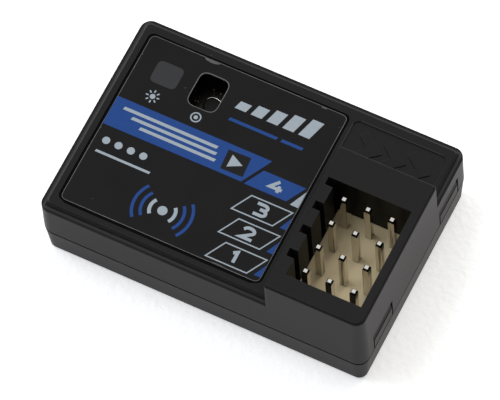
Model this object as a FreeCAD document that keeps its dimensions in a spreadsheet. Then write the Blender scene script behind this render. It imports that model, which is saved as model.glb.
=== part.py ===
"""Four-channel radio control receiver: a snapped plastic case round one circuit board.

Millimetres. The long side lies along X, the channel sockets are at the +X end,
+Z is up, and the origin is the middle of the underside.
"""
import FreeCAD, Part
import math
import os
import re
import Sketcher

Vector = FreeCAD.Vector

# The driving dimensions. Every other size is worked out from these.
SIZES = {
    # Case, outside
    "case_length": 35.1,
    "case_width": 23.2,
    "seam_height": 4.05,
    "deck_height": 9.0,
    "deck_step": 0.65,
    "block_height": 12.65,
    "corner_radius": 1.2,
    "ledge_width": 0.62,
    "deck_radius": 0.65,
    "deck_draft": 10.0,
    "upper_draft": 1.0,
    "lower_draft": 4.3,
    "seam_step": 0.03,
    "groove_height": 0.3,
    "groove_depth": 0.4,
    "foot_radius": 0.35,
    "block_edge": 0.28,
    "deck_edge": 0.16,
    # Case, inside
    "wall": 1.1,
    "floor_thickness": 1.0,
    "roof_thickness": 1.0,
    "lip_thickness": 0.5,
    "lip_height": 0.8,
    "lip_gap": 0.05,
    "inner_radius": 0.4,
    "press_from_left": 6.15,
    "press_from_block": 3.65,
    "press_from_side": 2.5,
    "press_diameter": 1.4,
    # Latches on the two ends, with heights above the seam
    "latch_width": 3.78,
    "latch_from_side": 4.31,
    "window_rise": 2.8,
    "window_gap": 0.2,
    "latch_bevel_rise": 1.55,
    "latch_tip_rise": 2.45,
    "latch_step": 0.05,
    "latch_lean": 0.13,
    "catch_rise": 1.65,
    "catch_thickness": 0.45,
    "catch_depth": 0.25,
    # Contact pins, and the well that takes the plugs, with one key groove for each channel
    "row_spacing": 2.78,
    "pin_spacing": 2.54,
    "pin_side": 0.64,
    "pin_point": 0.25,
    "pin_taper": 29.0,
    "pin_recess": 0.41,
    "pin_tail": 1.0,
    "pin_gap": 0.01,
    "pin_hole": 0.95,
    "well_end_room": 1.44,
    "well_side_room": 1.36,
    "well_end_wall": 1.13,
    "well_front_wall": 2.14,
    "well_left_wall": 1.41,
    "well_rear_wall": 3.5,
    "key_depth": 0.86,
    "key_width": 0.88,
    "well_gap": 0.1,
    "base_gap": 0.04,
    "base_height": 2.55,
    "base_foot": 0.3,
    # Label and its two windows
    "label_end_margin": 1.72,
    "label_block_margin": 1.48,
    "label_side_margin": 1.75,
    "label_radius": 0.5,
    "label_end_gap": 0.29,
    "label_side_gap": 0.19,
    "label_thickness": 0.2,
    "label_sink": 0.26,
    "lamp_from_left": 5.12,
    "lamp_from_rear": 5.24,
    "lamp_length": 2.7,
    "lamp_width": 2.36,
    "switch_from_left": 9.84,
    "switch_from_rear": 5.15,
    "hole_shift": 0.25,
    "hole_length": 3.1,
    "hole_width": 3.8,
    "window_radius": 0.7,
    "window_margin": 0.3,
    # Plain recess behind the sockets
    "recess_overhang": 0.7,
    "recess_end_margin": 1.25,
    "recess_rear_margin": 1.7,
    "recess_depth": 0.15,
    "recess_radius": 0.65,
    # Circuit board and what holds it
    "board_bottom": 2.75,
    "board_thickness": 1.2,
    "board_gap": 0.3,
    "board_corner": 1.0,
    "peg_inset": 2.1,
    "peg_diameter": 1.4,
    "post_side": 2.6,
    "peg_gap": 0.1,
    "post_from_block": 1.45,
    "shelf_width": 4.0,
    "shelf_reach": 0.75,
    "shelf_root": 0.2,
    # Push switch
    "switch_side": 3.6,
    "switch_height": 1.5,
    "switch_floor": 0.55,
    "switch_cavity": 2.8,
    "cover_thickness": 0.15,
    "cover_leg": 0.9,
    "button_diameter": 1.9,
    "button_flange": 2.5,
    "button_rise": 0.9,
    "button_gap": 0.05,
    "button_round": 0.3,
    "flange_height": 0.45,
    "dome_height": 0.4,
    "dome_thickness": 0.08,
    "dome_crown": 0.6,
    "terminal_width": 0.5,
    "terminal_thickness": 0.2,
    "terminal_reach": 0.55,
    "terminal_height": 0.6,
    "terminal_spread": 1.1,
    # Lamp on the board
    "led_length": 2.0,
    "led_width": 1.6,
    "led_base": 0.6,
    "led_lens": 0.7,
    "led_margin": 0.2,
    "chip_bevel": 0.12,
}

# Board components that are plain chips. Each stands at a distance along the board, from its left
# end or from the socket block, and at one across it, from its front, middle or rear.
# Then come its length, width and height.
CHIPS = {
    "antenna": ("left", 1.55, "middle", -1.4, 2.0, 7.0, 1.0),
    "rf_chip": ("left", 6.95, "middle", -4.2, 4.0, 4.0, 0.9),
    "crystal": ("left", 6.95, "middle", 0.6, 3.2, 2.5, 0.8),
    "filter_capacitor": ("left", 10.75, "front", 3.3, 2.0, 1.25, 0.9),
    "voltage_regulator": ("left", 12.25, "rear", 7.6, 2.9, 1.6, 1.1),
    "microcontroller": ("block", 4.45, "middle", -2.6, 5.0, 5.0, 0.9),
    "supply_capacitor": ("block", 1.45, "rear", 5.3, 3.5, 2.8, 1.9),
    "reset_capacitor": ("block", 1.15, "rear", 2.1, 2.0, 1.25, 0.9),
}
CHIP_SIZES = ("along", "across", "length", "width", "height")
CHIP_PLACES = {
    "left": "=%s_along - board_length / 2",
    "block": "=block_left - %s_along",
    "front": "=%s_across - board_width / 2",
    "middle": "=%s_across",
    "rear": "=board_width / 2 - %s_across",
}

CHANNELS = (4, 3, 2, 1)
COLUMNS = ("signal", "supply", "ground")

# Places and heights that several pieces share, worked out from the driving dimensions
SHARED = {
    "half_length": "case_length / 2",
    "half_width": "case_width / 2",
    "inner_length": "case_length - 2 * wall",
    "inner_width": "case_width - 2 * wall",
    "inner_end": "inner_length / 2",
    "inner_side": "inner_width / 2",
    "land_foot": "seam_height - groove_height",
    "ledge_height": "deck_height - deck_step",
    "roof": "deck_height - roof_thickness",
    "board_top": "board_bottom + board_thickness",
    "base_top": "board_top + base_height",
    "well_floor": "base_top + well_gap",
    "pin_top": "block_height - pin_recess",
    "well_length": "%d * pin_spacing + 2 * well_end_room" % (len(COLUMNS) - 1),
    "well_width": "%d * row_spacing + 2 * well_side_room" % (len(CHANNELS) - 1),
    "well_x": "half_length - well_end_wall - well_length / 2",
    "well_y": "well_front_wall + well_width / 2 - half_width",
    "well_left": "well_x - well_length / 2",
    "well_rear": "well_y + well_width / 2",
    "well_back": "well_rear + wall",
    "first_column": "well_left + well_end_room",
    "rear_row": "well_rear - well_side_room",
    "block_left": "well_left - well_left_wall",
    "block_rear": "well_rear + well_rear_wall",
    "label_left": "label_end_margin - half_length",
    "label_length": "block_left - label_block_margin - label_left",
    "label_width": "case_width - 2 * label_side_margin",
    "label_x": "label_left + label_length / 2",
    "lamp_x": "lamp_from_left - half_length",
    "lamp_y": "half_width - lamp_from_rear",
    "switch_x": "switch_from_left - half_length",
    "switch_y": "half_width - switch_from_rear",
    "hole_x": "switch_x - hole_shift",
    "switch_foot": "board_top + switch_floor",
    "switch_top": "board_top + switch_height",
    "recess_left": "block_left - recess_overhang",
    "recess_right": "half_length - recess_end_margin",
    "recess_rear": "half_width - recess_rear_margin",
    "press_left": "press_from_left - half_length",
    "press_right": "block_left - press_from_block",
    "press_y": "half_width - press_from_side",
    "latch_y": "half_width - latch_from_side",
    "latch_face": "half_length - lip_thickness",
    "window_top": "seam_height + window_rise",
    "bevel_start": "seam_height + latch_bevel_rise",
    "latch_tip": "seam_height + latch_tip_rise",
    "catch_height": "seam_height + catch_rise",
    "board_length": "inner_length - 2 * board_gap",
    "board_width": "inner_width - 2 * board_gap",
    "peg_x": "inner_end - peg_inset",
    "peg_y": "inner_side - peg_inset",
    "middle_post_x": "block_left - post_from_block",
}


def list_sizes():
    """Contents of the two sheets: the driving dimensions, and the formulas that follow from them."""
    driving = {name: str(value) for name, value in SIZES.items()}
    shared = {name: "=" + formula for name, formula in SHARED.items()}
    for chip, (end, along, side, across, *block) in CHIPS.items():
        for part, value in zip(CHIP_SIZES, (along, across, *block)):
            driving["%s_%s" % (chip, part)] = str(value)
        shared[chip + "_x"] = CHIP_PLACES[end] % chip
        shared[chip + "_y"] = CHIP_PLACES[side] % chip
    return {"sizes": driving, "shared": shared}


def fill_sheets():
    """Write both sheets, one named cell for each size."""
    for title, entries in SHEETS.items():
        sheet = DOC.addObject("Spreadsheet::Sheet", title)
        for row, name in enumerate(entries, start=1):
            sheet.set("A%d" % row, name)
            sheet.setAlias("B%d" % row, name)
    for title, entries in SHEETS.items():
        for row, content in enumerate(entries.values(), start=1):
            DOC.getObject(title).set("B%d" % row, with_sheets(content, title))
    DOC.recompute()


def with_sheets(text, own=None):
    """The same expression, with each size looked up in its sheet unless that is the expression's own."""

    def looked_up(word):
        title = "sizes" if word.group() in SHEETS["sizes"] else "shared"
        return word.group() if title == own else "%s.%s" % (title, word.group())

    return re.sub(r"[a-z][a-z_0-9]*", looked_up, text)


def value_of(text):
    """Number that an expression stands for, so that a sketch starts solved."""
    result = DOC.getObject("sizes").evalExpression(with_sheets(text, "sizes"))
    return float(getattr(result, "Value", result))


def bind(thing, prop, text):
    """Tie a property to an expression in the sheets' names."""
    thing.setExpression(prop, with_sheets(text))


def add_body(name):
    """New body whose label names its file."""
    body = DOC.addObject("PartDesign::Body", name + "_body")
    body.Label = name
    return body


def origin_plane(body, role):
    """One of the body's own origin planes, such as XY_Plane."""
    for feature in body.Origin.OriginFeatures:
        if feature.Role == role:
            return feature
    raise ValueError(role)


def add_sketch(body, name, plane="XY_Plane", place=("0", "0", "0")):
    """Empty sketch on an origin plane, moved by three expressions in its own axes."""
    sketch = body.newObject("Sketcher::SketchObject", name)
    sketch.AttachmentSupport = [(origin_plane(body, plane), "")]
    sketch.MapMode = "FlatFace"
    for axis, text in zip("xyz", place):
        bind(sketch, "AttachmentOffset.Base." + axis, text)
    return sketch


def fix_coordinate(sketch, kind, line, text):
    """Hold a line's first point at a distance from the sketch's origin, on the side it starts on."""
    value = value_of(text)
    if value >= 0:
        number = sketch.addConstraint(Sketcher.Constraint(kind, -1, 1, line, 1, value))
        bind(sketch, "Constraints[%d]" % number, text)
    else:
        number = sketch.addConstraint(Sketcher.Constraint(kind, line, 1, -1, 1, -value))
        bind(sketch, "Constraints[%d]" % number, "-(%s)" % text)


def polygon(body, name, corners, plane="XY_Plane", place=("0", "0", "0")):
    """Closed outline through corners given as pairs of expressions."""
    sketch = add_sketch(body, name, plane, place)
    points = [Vector(value_of(x), value_of(y), 0) for x, y in corners]
    count = len(points)
    for start in range(count):
        sketch.addGeometry(Part.LineSegment(points[start], points[(start + 1) % count]), False)
    for line in range(count):
        sketch.addConstraint(Sketcher.Constraint("Coincident", line, 2, (line + 1) % count, 1))
    for line, (x, y) in enumerate(corners):
        fix_coordinate(sketch, "DistanceX", line, x)
        fix_coordinate(sketch, "DistanceY", line, y)
    return sketch


def rectangle(body, name, length, width, plane="XY_Plane", place=("0", "0", "0")):
    """Rectangle with sharp corners about the sketch's origin."""
    half_length = "(%s) / 2" % length
    half_width = "(%s) / 2" % width
    corners = [
        ("-" + half_length, "-" + half_width),
        (half_length, "-" + half_width),
        (half_length, half_width),
        ("-" + half_length, half_width),
    ]
    return polygon(body, name, corners, plane, place)


def rounded_rectangle(body, name, length, width, radius, plane="XY_Plane", place=("0", "0", "0")):
    """Rectangle with round corners about the sketch's origin."""
    sketch = add_sketch(body, name, plane, place)
    x = value_of(length) / 2
    y = value_of(width) / 2
    r = value_of(radius)
    sides = [
        (Vector(-x + r, -y, 0), Vector(x - r, -y, 0)),
        (Vector(x, -y + r, 0), Vector(x, y - r, 0)),
        (Vector(x - r, y, 0), Vector(-x + r, y, 0)),
        (Vector(-x, y - r, 0), Vector(-x, -y + r, 0)),
    ]
    centres = [(x - r, -y + r), (x - r, y - r), (-x + r, y - r), (-x + r, -y + r)]
    for side in range(4):
        sketch.addGeometry(Part.LineSegment(*sides[side]), False)
    for quarter, (cx, cy) in enumerate(centres):
        circle = Part.Circle(Vector(cx, cy, 0), Vector(0, 0, 1), r)
        start = (quarter - 1) * math.pi / 2
        sketch.addGeometry(Part.ArcOfCircle(circle, start, start + math.pi / 2), False)
    for side in range(4):
        arc = 4 + side
        sketch.addConstraint(Sketcher.Constraint("Tangent", side, 2, arc, 1))
        sketch.addConstraint(Sketcher.Constraint("Tangent", arc, 2, (side + 1) % 4, 1))
        sketch.addConstraint(Sketcher.Constraint("Horizontal" if side % 2 == 0 else "Vertical", side))
    for arc in range(5, 8):
        sketch.addConstraint(Sketcher.Constraint("Equal", 4, arc))
    sketch.addConstraint(Sketcher.Constraint("Symmetric", 0, 1, 2, 1, -1, 1))
    for kind, first, second, text in (
        ("DistanceX", 3, 1, length),
        ("DistanceY", 0, 2, width),
    ):
        number = sketch.addConstraint(Sketcher.Constraint(kind, first, 1, second, 1, value_of(text)))
        bind(sketch, "Constraints[%d]" % number, text)
    number = sketch.addConstraint(Sketcher.Constraint("Radius", 4, r))
    bind(sketch, "Constraints[%d]" % number, radius)
    return sketch


def circle(body, name, diameter, plane="XY_Plane", place=("0", "0", "0")):
    """Circle about the sketch's origin."""
    sketch = add_sketch(body, name, plane, place)
    sketch.addGeometry(Part.Circle(Vector(0, 0, 0), Vector(0, 0, 1), value_of(diameter) / 2), False)
    sketch.addConstraint(Sketcher.Constraint("Coincident", 0, 3, -1, 1))
    number = sketch.addConstraint(Sketcher.Constraint("Diameter", 0, value_of(diameter)))
    bind(sketch, "Constraints[%d]" % number, diameter)
    return sketch


def pad(body, name, sketch, length, taper=None, down=False):
    """Add material from a sketch."""
    feature = body.newObject("PartDesign::Pad", name)
    feature.Profile = sketch
    bind(feature, "Length", length)
    feature.Reversed = down
    if taper:
        bind(feature, "TaperAngle", taper)
    DOC.recompute()
    return feature


def pocket(body, name, sketch, length, up=False):
    """Cut material from a sketch, and make sure that it did cut."""
    before = body.Shape.Volume
    feature = body.newObject("PartDesign::Pocket", name)
    feature.Profile = sketch
    bind(feature, "Length", length)
    feature.Reversed = up
    DOC.recompute()
    if not body.Shape.Volume < before - 1e-6:
        raise RuntimeError(name + " cuts nothing")
    return feature


def edge_names(shape, wanted):
    """Names of the edges that a test accepts."""
    return ["Edge%d" % number for number, edge in enumerate(shape.Edges, start=1) if wanted(edge)]


def round_edges(body, name, wanted, radius, kind="Fillet"):
    """Fillet or chamfer of the edges that a test accepts."""
    base = body.Tip
    names = edge_names(base.Shape, wanted)
    if not names:
        raise RuntimeError(name + " finds no edge")
    feature = body.newObject("PartDesign::" + kind, name)
    feature.Base = (base, names)
    bind(feature, "Size" if kind == "Chamfer" else "Radius", radius)
    DOC.recompute()
    return feature


def add_row(body, name, axis, spacing, count):
    """Pattern that steps along X, or along Y towards the front."""
    pattern = body.newObject("PartDesign::LinearPattern", name)
    pattern.Direction = (origin_plane(body, axis), [""])
    pattern.Reversed = axis == "Y_Axis"
    pattern.Mode = "Spacing"
    bind(pattern, "Offset", spacing)
    pattern.Occurrences = count
    return pattern


def repeat_back(body, name, feature, spacing, count):
    """Copies of a feature in a row towards the front."""
    pattern = add_row(body, name, "Y_Axis", spacing, count)
    pattern.Originals = [feature]
    body.Tip = pattern
    DOC.recompute()
    return pattern


def mirror(body, name, features, plane):
    """Copies of features on the other side of an origin plane."""
    copy = body.newObject("PartDesign::Mirrored", name)
    copy.Originals = features
    copy.MirrorPlane = (origin_plane(body, plane), [""])
    body.Tip = copy
    DOC.recompute()
    return copy


def revolve(body, name, sketch):
    """Full turn of a profile about the upright axis."""
    feature = body.newObject("PartDesign::Revolution", name)
    feature.Profile = sketch
    feature.ReferenceAxis = (origin_plane(body, "Z_Axis"), [""])
    feature.Angle = 360
    DOC.recompute()
    return feature


def middle_pad(body, name, sketch, length):
    """Add material to both sides of a sketch."""
    feature = body.newObject("PartDesign::Pad", name)
    feature.Profile = sketch
    feature.SideType = "Symmetric"
    bind(feature, "Length", length)
    DOC.recompute()
    return feature


def place_body(body, x, y):
    """Put a body at a point of the plan."""
    bind(body, "Placement.Base.x", x)
    bind(body, "Placement.Base.y", y)


def near(value, target):
    """Whether two lengths agree."""
    return abs(value - target) < 1e-4


def level(edge, height):
    """Whether an edge lies flat at a height."""
    box = edge.BoundBox
    return near(box.ZMin, height) and near(box.ZMax, height)


def upright(edge, x, y):
    """Whether an edge stands over a point of the plan, a draft's lean aside."""
    box = edge.BoundBox
    lean = value_of("block_height") * math.tan(math.radians(value_of("upper_draft")))
    rise = box.ZMax - box.ZMin
    return rise > 0.3 and abs(box.Center.x - x) < lean and abs(box.Center.y - y) < lean


def make_upper_case():
    """Drafted shell with the raised socket block, the keyed well and the latch windows."""
    body = add_body("upper_case")
    outline = rounded_rectangle(
        body,
        "upper_outline",
        "case_length",
        "case_width",
        "corner_radius",
        place=("0", "0", "seam_height"),
    )
    pad(body, "upper_blank", outline, "block_height - seam_height", taper="-upper_draft")

    # Everything but the socket block comes down to the ledge
    far_x = "half_length + wall"
    far_y = "half_width + wall"
    step = polygon(
        body,
        "step_outline",
        [
            ("-(%s)" % far_x, "-(%s)" % far_y),
            ("block_left", "-(%s)" % far_y),
            ("block_left", "block_rear"),
            (far_x, "block_rear"),
            (far_x, far_y),
            ("-(%s)" % far_x, far_y),
        ],
        place=("0", "0", "block_height"),
    )
    pocket(body, "step_cut", step, "block_height - ledge_height")
    block_edges(body)

    deck = rounded_rectangle(
        body,
        "deck_outline",
        "case_length - 2 * ledge_width",
        "case_width - 2 * ledge_width",
        "deck_radius",
        place=("0", "0", "ledge_height"),
    )
    pad(body, "deck", deck, "deck_step", taper="-deck_draft")
    deck_edges(body)

    hollow_upper_case(body)
    cut_well(body)
    cut_top_recesses(body)
    cut_latch_windows(body)
    add_press_pins(body)
    return body


def block_edges(body):
    """Round the socket block's top and its three free upright edges."""
    top = value_of("block_height")
    left = value_of("block_left")
    rear = value_of("block_rear")
    corners = [
        (left, -value_of("half_width")),
        (left, rear),
        (value_of("half_length"), rear),
    ]

    def wanted(edge):
        return level(edge, top) or any(upright(edge, x, y) for x, y in corners)

    round_edges(body, "block_rounding", wanted, "block_edge")


def deck_edges(body):
    """Round the outer edge of the deck, and leave its foot at the block sharp."""
    height = value_of("deck_height")
    reach_x = value_of("half_length - ledge_width - deck_radius")
    reach_y = value_of("half_width - ledge_width - deck_radius")

    def wanted(edge):
        middle = edge.BoundBox.Center
        return level(edge, height) and (abs(middle.x) > reach_x or abs(middle.y) > reach_y)

    round_edges(body, "deck_rounding", wanted, "deck_edge")


def hollow_upper_case(body):
    """Inside of the shell: the room under the deck, the cored block and the seat of the lip."""
    room = polygon(
        body,
        "room_outline",
        [
            ("-inner_end", "-inner_side"),
            ("block_left", "-inner_side"),
            ("block_left", "well_back"),
            ("inner_end", "well_back"),
            ("inner_end", "inner_side"),
            ("-inner_end", "inner_side"),
        ],
        place=("0", "0", "seam_height"),
    )
    pocket(body, "room", room, "roof - seam_height", up=True)
    socket_room = polygon(
        body,
        "socket_room_outline",
        [
            ("block_left", "-inner_side"),
            ("inner_end", "-inner_side"),
            ("inner_end", "well_back"),
            ("block_left", "well_back"),
        ],
        place=("0", "0", "seam_height"),
    )
    pocket(body, "socket_room", socket_room, "well_floor - seam_height", up=True)
    core = polygon(
        body,
        "core_outline",
        [
            ("block_left + wall", "well_back"),
            ("inner_end", "well_back"),
            ("inner_end", "block_rear - wall"),
            ("block_left + wall", "block_rear - wall"),
        ],
        place=("0", "0", "roof"),
    )
    pocket(body, "core", core, "block_height - roof_thickness - roof", up=True)
    seat = rounded_rectangle(
        body,
        "lip_seat_outline",
        "inner_length + 2 * (lip_thickness + lip_gap)",
        "inner_width + 2 * (lip_thickness + lip_gap)",
        "inner_radius + lip_thickness",
        place=("0", "0", "seam_height"),
    )
    pocket(body, "lip_seat", seat, "lip_height + lip_gap", up=True)


def cut_well(body):
    """Well for the plugs, with a key groove beside each row of pins."""
    well = rectangle(
        body, "well_outline", "well_length", "well_width", place=("well_x", "well_y", "block_height")
    )
    depth = "block_height - well_floor"
    pocket(body, "well", well, depth)
    key = rectangle(
        body,
        "key_outline",
        "2 * key_depth",
        "key_width",
        place=("well_left", "well_rear - key_width / 2", "block_height"),
    )
    groove = pocket(body, "key_groove", key, depth)
    repeat_back(body, "key_grooves", groove, "row_spacing", len(CHANNELS))


def cut_top_recesses(body):
    """Shallow bed of the label, the plain recess behind the sockets, and the two openings."""
    bed = rounded_rectangle(
        body,
        "label_bed_outline",
        "label_length + 2 * label_end_gap",
        "label_width + 2 * label_side_gap",
        "label_radius + label_side_gap",
        place=("label_x", "0", "deck_height"),
    )
    pocket(body, "label_bed", bed, "label_sink")
    recess = polygon(
        body,
        "recess_outline",
        [
            ("recess_left", "block_rear"),
            ("recess_right", "block_rear"),
            ("recess_right", "recess_rear"),
            ("recess_left", "recess_rear"),
        ],
        place=("0", "0", "deck_height"),
    )
    pocket(body, "recess", recess, "recess_depth")
    rear = value_of("recess_rear")
    sides = (value_of("recess_left"), value_of("recess_right"))

    def recess_corner(edge):
        box = edge.BoundBox
        return near(box.YMin, rear) and near(box.YMax, rear) and any(
            near(box.XMin, x) and near(box.XMax, x) for x in sides
        )

    round_edges(body, "recess_corners", recess_corner, "recess_radius")
    for name, length, width, x, y in (
        ("lamp", "lamp_length", "lamp_width", "lamp_x", "lamp_y"),
        ("switch", "hole_length", "hole_width", "hole_x", "switch_y"),
    ):
        opening = rounded_rectangle(
            body,
            name + "_opening_outline",
            length + " + 2 * window_margin",
            width + " + 2 * window_margin",
            "window_radius",
            place=(x, y, "deck_height"),
        )
        pocket(body, name + "_opening", opening, "roof_thickness + wall")


def cut_latch_windows(body):
    """Windows for the four latches, each with a slot that its catch snaps into."""
    windows = []
    for side, sign in (("rear", ""), ("front", "-")):
        window = rectangle(
            body,
            side + "_window_outline",
            "latch_width + 2 * window_gap",
            "window_rise",
            plane="YZ_Plane",
            place=(sign + "latch_y", "(seam_height + window_top) / 2", "half_length"),
        )
        windows.append(pocket(body, side + "_window", window, "lip_thickness + lip_gap"))
        slot = rectangle(
            body,
            side + "_slot_outline",
            "latch_width + 2 * lip_gap",
            "catch_thickness + 2 * lip_gap",
            plane="YZ_Plane",
            place=(sign + "latch_y", "catch_height + catch_thickness / 2", "latch_face"),
        )
        windows.append(pocket(body, side + "_slot", slot, "catch_depth + 2 * lip_gap"))
    mirror(body, "left_windows", windows, "YZ_Plane")


def add_press_pins(body):
    """Four pins that hold the board down from the roof."""
    for column in ("left", "right"):
        for row, sign in (("rear", ""), ("front", "-")):
            name = "%s_%s_press_pin" % (row, column)
            foot = circle(
                body,
                name + "_outline",
                "press_diameter",
                place=("press_" + column, sign + "press_y", "board_top + lip_gap"),
            )
            pad(body, name, foot, "roof + label_thickness - board_top - lip_gap")


def make_lower_case():
    """Drafted tray with a seam groove, a lip, four latches and the posts that carry the board."""
    body = add_body("lower_case")
    outline = rounded_rectangle(
        body,
        "lower_outline",
        "case_length - 2 * seam_step",
        "case_width - 2 * seam_step",
        "corner_radius - seam_step",
        place=("0", "0", "land_foot"),
    )
    pad(body, "lower_blank", outline, "land_foot", taper="-lower_draft", down=True)
    round_edges(body, "foot_rounding", lambda edge: level(edge, 0), "foot_radius")
    land = rounded_rectangle(
        body,
        "land_outline",
        "case_length - 2 * groove_depth",
        "case_width - 2 * groove_depth",
        "corner_radius - groove_depth",
        place=("0", "0", "land_foot"),
    )
    pad(body, "land", land, "groove_height")
    lip = rounded_rectangle(
        body,
        "lip_outline",
        "inner_length + 2 * lip_thickness",
        "inner_width + 2 * lip_thickness",
        "inner_radius + lip_thickness",
        place=("0", "0", "seam_height"),
    )
    pad(body, "lip", lip, "lip_height")
    tray = rounded_rectangle(
        body,
        "tray_outline",
        "inner_length",
        "inner_width",
        "inner_radius",
        place=("0", "0", "seam_height + lip_height"),
    )
    pocket(body, "tray", tray, "seam_height + lip_height - floor_thickness")
    add_latches(body)
    add_board_seats(body)
    return body


def add_latches(body):
    """Latch tabs that stand in the windows, bevelled at the top, with a catch inside."""
    root = "half_length - wall + lip_thickness / 2"
    outer = "half_length - seam_step / 2"
    profile = [
        (root, "seam_height - lip_height"),
        ("latch_face", "seam_height - lip_height"),
        (outer, "seam_height"),
        (outer, "bevel_start"),
        (outer + " - latch_step", "bevel_start"),
        (outer + " - latch_step - latch_lean", "latch_tip"),
        ("latch_face", "latch_tip"),
        ("latch_face", "catch_height + catch_thickness"),
        ("latch_face - catch_depth", "catch_height"),
        ("latch_face", "catch_height"),
        ("latch_face", "seam_height + lip_height"),
        (root, "seam_height + lip_height"),
    ]
    latches = []
    for side, sign in (("rear", "-"), ("front", "")):
        sketch = polygon(
            body,
            side + "_latch_profile",
            profile,
            plane="XZ_Plane",
            place=("0", "0", sign + "latch_y"),
        )
        latches.append(middle_pad(body, side + "_latch", sketch, "latch_width"))
    mirror(body, "left_latches", latches, "YZ_Plane")


def add_board_seats(body):
    """Posts and a shelf under the board, and two pegs through it."""
    posts = (
        ("front_left", "-peg_x", "-peg_y", True),
        ("rear_left", "-peg_x", "peg_y", False),
        ("front_middle", "middle_post_x", "-peg_y", False),
        ("rear_right", "peg_x", "peg_y", True),
    )
    sunk = "floor_thickness / 2"
    height = "board_bottom - floor_thickness / 2"
    for name, x, y, pegged in posts:
        foot = rectangle(body, name + "_post_outline", "post_side", "post_side", place=(x, y, sunk))
        pad(body, name + "_post", foot, height)
        if pegged:
            peg = circle(body, name + "_peg_outline", "peg_diameter", place=(x, y, "board_bottom"))
            pad(body, name + "_peg", peg, "board_thickness + lip_height / 2")
    shelf = rectangle(
        body,
        "shelf_outline",
        "shelf_reach + shelf_root",
        "shelf_width",
        place=("inner_end + (shelf_root - shelf_reach) / 2", "well_y", sunk),
    )
    pad(body, "shelf", shelf, height)


def make_label():
    """Printed film in its bed, with a hole over the switch."""
    body = add_body("label")
    film = rounded_rectangle(
        body,
        "film_outline",
        "label_length",
        "label_width",
        "label_radius",
        place=("label_x", "0", "deck_height - label_sink"),
    )
    pad(body, "film", film, "label_thickness")
    hole = rounded_rectangle(
        body,
        "film_hole_outline",
        "hole_length",
        "hole_width",
        "window_radius",
        place=("hole_x", "switch_y", "deck_height"),
    )
    pocket(body, "film_hole", hole, "label_sink + label_thickness")
    return body


def make_circuit_board():
    """Board with the holes for the pins and the two pegs."""
    body = add_body("circuit_board")
    outline = rounded_rectangle(
        body,
        "board_outline",
        "board_length",
        "board_width",
        "board_corner",
        place=("0", "0", "board_bottom"),
    )
    pad(body, "board", outline, "board_thickness")
    for name, sign in (("left", "-"), ("right", "")):
        hole = circle(
            body,
            name + "_peg_hole_outline",
            "peg_diameter + 2 * peg_gap",
            place=(sign + "peg_x", sign + "peg_y", "board_top"),
        )
        pocket(body, name + "_peg_hole", hole, "board_thickness")
    pin_hole = circle(
        body, "pin_hole_outline", "pin_hole", place=("first_column", "rear_row", "board_top")
    )
    first = pocket(body, "pin_hole", pin_hole, "board_thickness")
    repeat_pins(body, first)
    return body


def repeat_pins(body, feature):
    """Copies of a feature at every pin: the columns to the right, the rows to the front."""
    grid = body.newObject("PartDesign::MultiTransform", feature.Name + "_grid")
    grid.Originals = [feature]
    grid.Transformations = [
        add_row(body, feature.Name + "_columns", "X_Axis", "pin_spacing", len(COLUMNS)),
        add_row(body, feature.Name + "_rows", "Y_Axis", "row_spacing", len(CHANNELS)),
    ]
    body.Tip = grid
    DOC.recompute()


def make_header_base():
    """Insulator that carries the twelve pins, on two feet."""
    body = add_body("header_base")
    length = "well_length - 2 * base_gap"
    block = rectangle(
        body,
        "base_outline",
        length,
        "well_width - 2 * base_gap",
        place=("well_x", "well_y", "board_top"),
    )
    pad(body, "base_block", block, "base_height")
    relief = rectangle(
        body,
        "relief_outline",
        length,
        "well_width - 2 * base_gap - 2 * row_spacing",
        place=("well_x", "well_y", "board_top"),
    )
    pocket(body, "base_relief", relief, "base_foot", up=True)
    socket = rectangle(
        body,
        "pin_socket_outline",
        "pin_side + 2 * pin_gap",
        "pin_side + 2 * pin_gap",
        place=("first_column", "rear_row", "base_top"),
    )
    first = pocket(body, "pin_socket", socket, "base_height")
    repeat_pins(body, first)
    return body


def make_pin(channel, column):
    """Square contact pin of one channel, with a blunt point at both ends."""
    body = add_body("channel_%d_%s_pin" % (channel, column))
    foot = "board_bottom - pin_tail + pin_point"
    neck = "pin_top - pin_point"
    section = rectangle(body, body.Label + "_section", "pin_side", "pin_side", place=("0", "0", foot))
    pad(body, body.Label + "_shank", section, "%s - (%s)" % (neck, foot))
    for end, height in (("tip", neck), ("tail", foot)):
        outline = rectangle(
            body, "%s_%s_outline" % (body.Label, end), "pin_side", "pin_side", place=("0", "0", height)
        )
        point = "%s_%s" % (body.Label, end)
        pad(body, point, outline, "pin_point", taper="-pin_taper", down=end == "tail")
    place_body(
        body,
        "first_column + %d * pin_spacing" % COLUMNS.index(column),
        "rear_row - %d * row_spacing" % CHANNELS.index(channel),
    )
    return body


def make_switch():
    """Push switch under the label's hole: base, terminals, snap dome, button and cover."""
    pieces = [make_switch_base(), make_terminals(), make_dome(), make_button(), make_cover()]
    for piece in pieces:
        place_body(piece, "switch_x", "switch_y")
    return pieces


def make_switch_base():
    """Square block with a round cavity for the dome."""
    body = add_body("switch_base")
    block = rectangle(
        body, "switch_block_outline", "switch_side", "switch_side", place=("0", "0", "board_top")
    )
    pad(body, "switch_block", block, "switch_height")
    cavity = circle(body, "switch_cavity_outline", "switch_cavity", place=("0", "0", "switch_top"))
    pocket(body, "switch_bore", cavity, "switch_height - switch_floor")
    return body


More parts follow.
